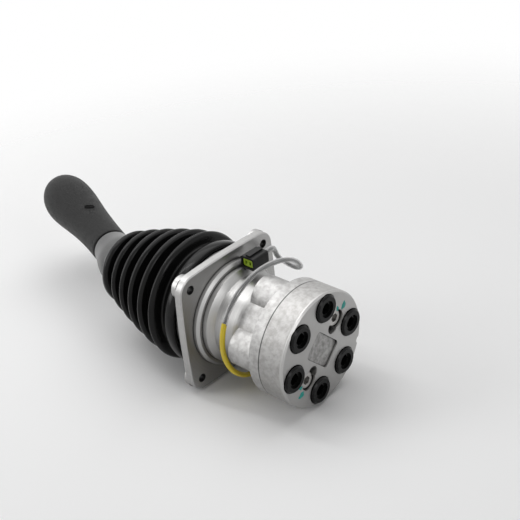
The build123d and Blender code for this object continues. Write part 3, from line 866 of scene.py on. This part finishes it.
# ------------------------------------------------------------------ harness
# Centreline's route in millimetres, from the gland under the neck to the connector
ROUTE = [
    (26.0, 3.0, -41.0),
    (26.0, -8.0, -41.0),
    (26.5, -19.5, -37.0),
    (27.0, -30.5, -27.5),
    (27.5, -38.0, -14.5),
    (27.5, -41.0, 1.0),
    (27.5, -37.5, 17.5),
    (28.0, -28.0, 31.5),
    (28.5, -13.5, 41.0),
    (29.5, 3.0, 45.5),
    (31.0, 20.0, 44.0),
    (32.0, 30.5, 40.5),
    (32.4, 38.4, 35.6),
    (32.2, 43.8, 28.5),
    (29.1, 46.8, 24.2),
    (23.9, 48.5, 21.7),
    (17.7, 48.5, 21.7),
    (12.5, 46.8, 24.2),
    (9.4, 43.8, 28.5),
    (9.8, 41.0, 35.5),
    (11.5, 37.2, 40.4),
    (13.5, 32.0, 42.5),
    (13.5, 23.0, 42.5),
]
HARNESS_D = 4 * MM
YELLOW_SHARE = 0.36
PLAIT = 70 * MM  # length in which the wires turn once round each other
WIRE_R = 0.75 * MM
WIRE_OFF = 0.85 * MM  # from the sleeve's middle
WIRE_POINTS = 12


def route_points():
    """Points along the harness's smooth line, read from its NURBS curve."""
    data = bpy.data.curves.new("harness_line", "CURVE")
    data.dimensions = "3D"
    data.resolution_u = 12
    spline = data.splines.new("NURBS")
    spline.points.add(len(ROUTE) - 1)
    for point, place in zip(spline.points, ROUTE):
        point.co = (*(Vector(place) * MM), 1)
    spline.order_u = 3
    spline.use_endpoint_u = True
    line = bpy.data.objects.new("harness_line", data)
    bpy.context.scene.collection.objects.link(line)
    bpy.context.view_layer.update()
    mesh = bpy.data.meshes.new_from_object(line.evaluated_get(bpy.context.evaluated_depsgraph_get()))
    points = [v.co.copy() for v in mesh.vertices]
    bpy.data.objects.remove(line)
    return points


def frames_along(points):
    """A steady pair of directions across a line at each of its points, with the distance so far."""
    frames = []
    side = None
    run = 0.0
    for i, p in enumerate(points):
        ahead = (points[min(i + 1, len(points) - 1)] - points[max(i - 1, 0)]).normalized()
        side = (side or Vector((1, 0, 0))).copy()
        side = (side - ahead * side.dot(ahead)).normalized()
        if i:
            run += (p - points[i - 1]).length
        frames.append((p, side, ahead.cross(side), run))
    return frames


def tube(name, frames, radius, count=20, offset=0.0, turn=0.0):
    """A tube along the frames, or one that winds round them at an offset."""
    rings = []
    for p, side, up, run in frames:
        a = turn + 2 * pi * run / PLAIT
        centre = p + (side * cos(a) + up * sin(a)) * offset
        rings.append(circle(centre, side, up, radius, count))
    return skin(name, rings)


class PILOTVALVE_OT_harness(bpy.types.Operator):
    """Make the short wiring harness that loops round the neck to its connector"""

    bl_idname = "pilot_valve.harness"
    bl_label = "Harness"

    def execute(self, context):
        looks = context.scene.pilot_valve_looks
        points = route_points()
        frames = frames_along(points)
        yellow = plain_colour("yellow_sleeve", tuple(looks.yellow), 0.34, 0.8 * MM)
        mesh = tube("harness_sleeve", frames, HARNESS_D / 2)
        sleeve = keep("harness_sleeve", mesh, [clear_sleeve(), yellow], "housing")
        edge = frames[-1][3] * YELLOW_SHARE
        for face in mesh.polygons:
            nearest = min(frames, key=lambda f: (f[0] - face.center).length_squared)
            face.material_index = 1 if nearest[3] <= edge else 0
        for i, shade in enumerate((0.012, 0.05)):
            name = f"harness_wire_{i + 1}"
            core = tube(name, frames, WIRE_R, WIRE_POINTS, WIRE_OFF, pi * i)
            finish = plain_colour(f"wire_{i + 1}", grey(shade), 0.35)
            keep(name, core, finish, "housing")
        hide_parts("harness")
        return {"FINISHED"}


# ------------------------------------------------------------------ CAD finishes
class PILOTVALVE_OT_finishes(bpy.types.Operator):
    """Give every CAD piece its finish"""

    bl_idname = "pilot_valve.finishes"
    bl_label = "Metal and plastic finishes"

    def execute(self, context):
        looks = context.scene.pilot_valve_looks
        black = looks.black
        finishes = {
            "cast_aluminium": cast_aluminium(looks),
            "machined_aluminium": machined_aluminium(looks),
            "plain_steel": plain_steel(),
            "screw_steel": screw_steel(),
            "spring_steel": plain_colour("spring_steel", grey(0.3, 0.05), 0.3, metallic=1.0),
            "insert_plastic": plain_colour("insert_plastic", tuple(looks.green), 0.35),
            "cable_sleeve": plain_colour("cable_cad", tuple(looks.yellow), 0.35),
        }
        # slot, material, brightness, roughness, grain and its depth in millimetres, shine
        blacks = [
            ("seal_rubber", "seal_rubber", black, 0.6, 0.5, 0.05, 0.5),
            ("plug_plastic", "plug_plastic", black * 0.3, 0.22, 0.9, 0.02, 0.16),
            ("button_plastic", "button_plastic", black * 1.8, 0.4, 0.5, 0.06, 0.25),
            ("connector_plastic", "connector_plastic", black * 0.6, 0.38, 0.4, 0.05, 0.2),
            ("boot_rubber", "boot_cad", black, 0.3, 0.6, 0.04, 0.5),
            ("sleeve_plastic", "sleeve_cad", black, 0.3, 0.6, 0.04, 0.5),
            ("grip_plastic", "grip_cad", black, 0.4, 0.6, 0.04, 0.5),
        ]
        for slot, name, level, roughness, grain, depth, shine in blacks:
            finishes[slot] = moulded_black(name, level, roughness, grain * MM, depth * MM, shine=shine)
        slots = {entry["node"]: entry["material_slot"] for entry in frame["record"]["subparts"]}
        for name, node in NODES.items():
            node.data.materials.clear()
            node.data.materials.append(finishes[slots[name]])
        return {"FINISHED"}


# direction in degrees from +Z towards +Y, distance from the axis in millimetres, tilt, scale
DABS = [(47, 34.8, 0.25, 1.0), (37, 31.0, 0.9, 0.6), (227, 34.8, -0.35, 1.0), (236, 31.0, -0.9, 0.6)]
DAB_LONG = 3.2 * MM
DAB_WIDE = 2.2 * MM
DAB_POINTS = 28
DAB_RINGS = [(-0.05, 1.0), (0.09, 0.94), (0.12, 0.3)]  # lift in millimetres, share of the outline


class PILOTVALVE_OT_paint_marks(bpy.types.Operator):
    """Dab a paint mark beside each of the block's two screws"""

    bl_idname = "pilot_valve.paint_marks"
    bl_label = "Paint marks"

    def execute(self, context):
        finish = paint(context.scene.pilot_valve_looks)
        for number, (turn, reach, tilt, scale) in enumerate(DABS):
            out = Vector((0, sin(radians(turn)), cos(radians(turn))))
            along = (out + Vector((0, -out.z, out.y)) * tilt).normalized()
            seat = Vector((FACE_X, 0, 0)) + out * reach * MM
            name = f"paint_mark_{number + 1}"
            mesh = skin(name, self.blob(seat, along, scale, number))
            keep(name, mesh, finish, "housing")
        return {"FINISHED"}

    def blob(self, seat, along, scale, number):
        """Rings of a low uneven drop; its number changes its outline."""
        across = Vector((0, -along.z, along.y))
        rings = []
        for lift, size in DAB_RINGS:
            middle = seat + Vector((lift * MM, 0, 0))
            ring = []
            for i in range(DAB_POINTS):
                t = 2 * pi * i / DAB_POINTS
                wobble = 1 + 0.14 * sin(3 * t + number) + 0.08 * sin(5 * t + 2 * number)
                reach = scale * size * wobble
                long, wide = DAB_LONG * reach * cos(t), DAB_WIDE * reach * sin(t)
                ring.append(middle + along * long + across * wide)
            rings.append(ring)
        return rings


# ------------------------------------------------------------------ stage
def light(name, place, aim, size, power):
    data = bpy.data.lights.new(name, "AREA")
    data.shape = "RECTANGLE"
    data.size, data.size_y = size
    data.energy = power
    lamp = bpy.data.objects.new(name, data)
    bpy.context.scene.collection.objects.link(lamp)
    lamp.location = place
    lamp.rotation_euler = (Vector(aim) - Vector(place)).to_track_quat("-Z", "Y").to_euler()
    return lamp


FLOOR_HALF = 4.0
FLOOR_GAP = 0.4 * MM
CAMERA_AIM = Vector((-27.8, 62.8, 3.1)) * MM


class PILOTVALVE_OT_stage(bpy.types.Operator):
    """Make the floor, lamps, world and camera"""

    bl_idname = "pilot_valve.stage"
    bl_label = "Stage"

    def execute(self, context):
        stage = context.scene.pilot_valve_stage
        context.scene.view_settings.view_transform = "Standard"
        self.floor()
        self.lamps(stage)
        self.world(stage)
        self.camera(context, stage)
        return {"FINISHED"}

    def floor(self):
        """The valve lies on the edges of its flange and its block, so the floor slopes in its frame."""
        slope = (BLOCK_LOW[2] - FLANGE_LOW[2]) / FACE_X
        height = FLANGE_LOW[2] - FLOOR_GAP
        square = ((-1, -1), (1, -1), (1, 1), (-1, 1))
        corners = [(x * FLOOR_HALF, y * FLOOR_HALF, height + slope * x * FLOOR_HALF) for x, y in square]
        mesh = bpy.data.meshes.new("floor")
        mesh.from_pydata(corners, [], [(0, 1, 2, 3)])
        f = Finish("floor_paint", Roughness=0.85)
        x, y, _ = f.axes(f.place())
        far = length(x, y).step(0.55, 0.27)
        f.set(Base_Color=(0.94, 0.94, 0.94), Alpha=1 - far)
        floor = bpy.data.objects.new("floor", mesh)
        mesh.materials.append(f.material)
        bpy.context.scene.collection.objects.link(floor)

    def lamps(self, stage):
        """A large softbox overhead, a narrow strip for thin highlights, and two weak side lamps."""
        middle = (-0.06, 0.02, 0)
        light("key_softbox", (-0.35, 0.35, 1.25), middle, (1.9, 1.5), stage.key)
        light("strip", (-0.75, -0.15, 0.95), middle, (0.05, 1.0), stage.key * 0.13)
        light("side_softbox", (-0.9, -0.75, 0.55), middle, (0.5, 0.8), stage.key * 0.28)
        light("port_softbox", (1.0, -0.2, 0.5), middle, (0.35, 0.7), stage.key * 0.13)

    def world(self, stage):
        """Dim light from all round that shows as white in view, in metal and through clear pieces."""
        world = bpy.data.worlds.new("studio")
        bpy.context.scene.world = world
        world.use_nodes = True
        tree = world.node_tree
        background = tree.nodes["Background"]
        background.inputs["Color"].default_value = (1, 1, 1, 1)
        rays = tree.nodes.new("ShaderNodeLightPath")
        seen = rays.outputs["Is Camera Ray"]
        for kind in ("Is Glossy Ray", "Is Transmission Ray"):
            either = tree.nodes.new("ShaderNodeMath")
            either.operation = "MAXIMUM"
            tree.links.new(seen, either.inputs[0])
            tree.links.new(rays.outputs[kind], either.inputs[1])
            seen = either.outputs[0]
        level = tree.nodes.new("ShaderNodeMapRange")
        level.inputs["To Min"].default_value = stage.world
        level.inputs["To Max"].default_value = 1.0
        tree.links.new(seen, level.inputs["Value"])
        tree.links.new(level.outputs[0], background.inputs["Strength"])

    def camera(self, context, stage):
        """Looks at the aim from its direction, rolled about its line of sight."""
        data = bpy.data.cameras.new("camera")
        data.lens = stage.lens
        data.clip_start = 0.01
        camera = bpy.data.objects.new("camera", data)
        context.scene.collection.objects.link(camera)
        az, el, roll = stage.azimuth, stage.elevation, stage.roll
        back = Vector((sin(az) * cos(el), -cos(az) * cos(el), sin(el)))
        right = Vector((cos(az), sin(az), 0))
        up = back.cross(right)
        turned_right = right * cos(roll) - up * sin(roll)
        turned_up = up * cos(roll) + right * sin(roll)
        axes = Matrix((turned_right, turned_up, back)).transposed().to_4x4()
        camera.matrix_world = Matrix.Translation(CAMERA_AIM + back * stage.distance) @ axes
        context.scene.camera = camera


class PILOTVALVE_PT_panel(bpy.types.Panel):
    bl_idname = "PILOTVALVE_PT_panel"
    bl_label = "Pilot valve"
    bl_space_type = "VIEW_3D"
    bl_region_type = "UI"
    bl_category = "Pilot valve"

    def draw(self, context):
        for settings in SETTINGS.values():
            group = getattr(context.scene, settings)
            for name in group.bl_rna.properties.keys():
                if name not in ("rna_type", "name"):
                    self.layout.prop(group, name)
        for operator in OPERATORS:
            self.layout.operator(operator.bl_idname)


OPERATORS = [
    PILOTVALVE_OT_stage,
    PILOTVALVE_OT_harness,
    PILOTVALVE_OT_finishes,
    PILOTVALVE_OT_boot,
    PILOTVALVE_OT_springs,
    PILOTVALVE_OT_sleeve,
    PILOTVALVE_OT_grip,
    PILOTVALVE_OT_paint_marks,
]
SETTINGS = {
    PILOTVALVE_PG_looks: "pilot_valve_looks",
    PILOTVALVE_PG_boot: "pilot_valve_boot",
    PILOTVALVE_PG_stage: "pilot_valve_stage",
}


def register():
    for cls in [*SETTINGS, *OPERATORS, PILOTVALVE_PT_panel]:
        bpy.utils.register_class(cls)
    for cls, name in SETTINGS.items():
        setattr(bpy.types.Scene, name, bpy.props.PointerProperty(type=cls))


def unregister():
    for name in SETTINGS.values():
        delattr(bpy.types.Scene, name)
    for cls in [PILOTVALVE_PT_panel, *reversed(OPERATORS), *SETTINGS]:
        bpy.utils.unregister_class(cls)


def main():
    register()
    for operator in OPERATORS:
        group, name = operator.bl_idname.split(".")
        getattr(getattr(bpy.ops, group), name)()


if __name__ == "__main__":
    main()
